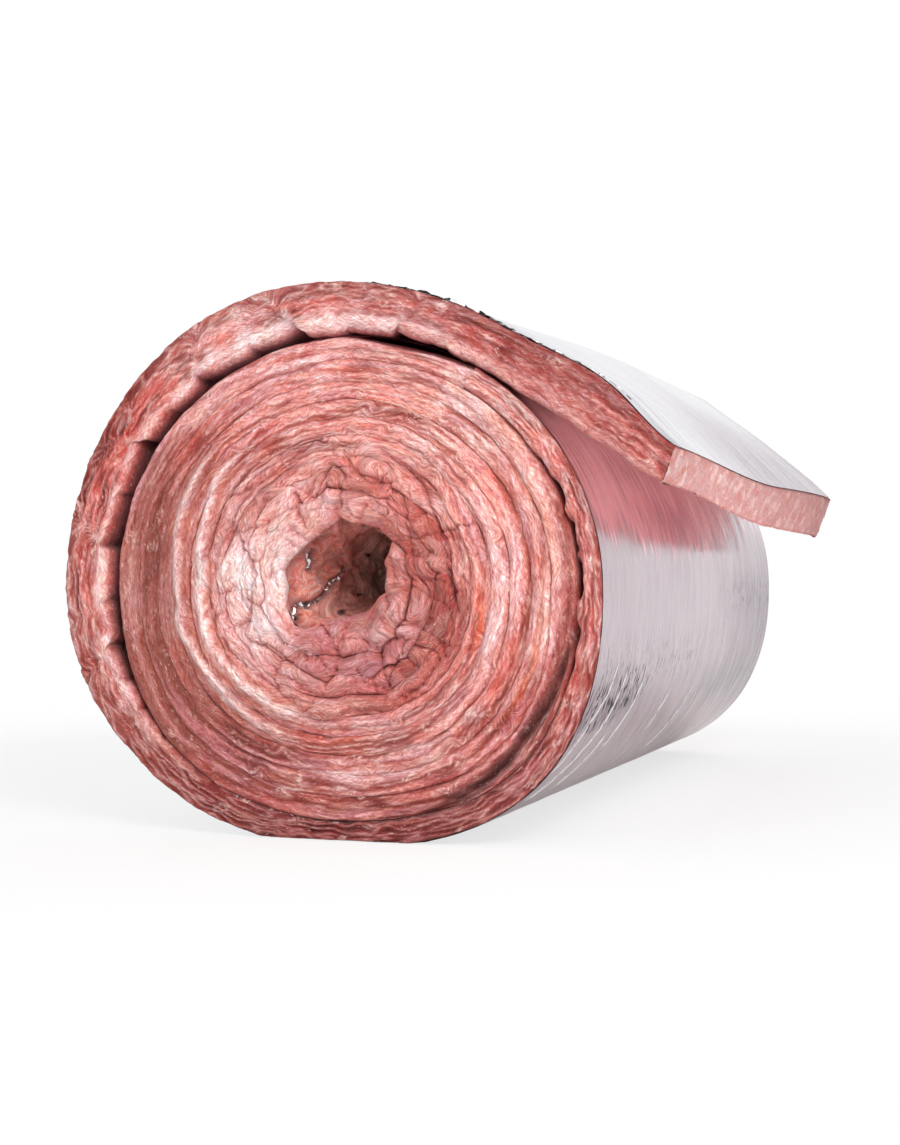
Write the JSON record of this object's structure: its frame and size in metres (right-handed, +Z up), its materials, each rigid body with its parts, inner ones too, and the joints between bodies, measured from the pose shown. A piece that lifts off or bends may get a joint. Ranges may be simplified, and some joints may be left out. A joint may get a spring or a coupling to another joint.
{
  "type": "foil-faced insulation roll",
  "caption": "Roll of glass-wool building blanket with an aluminium foil facing, lying on its side, with an open core and its free end lifted.",
  "frame": {"origin": "on the floor under the middle of the roll, half way between its ends", "axes": "+Y along the roll's axis, +X towards the lifted free end, +Z up"},
  "size_m": [0.7468, 1.2, 0.6347],
  "materials": {
    "glass_wool": "soft fibrous pink glass wool, matt",
    "foil": "thin bright foil, finely wrinkled"
  },
  "bodies": {
    "root": {"wool_blanket": "glass_wool", "foil_facing": "foil"}
  },
  "joints": []
}
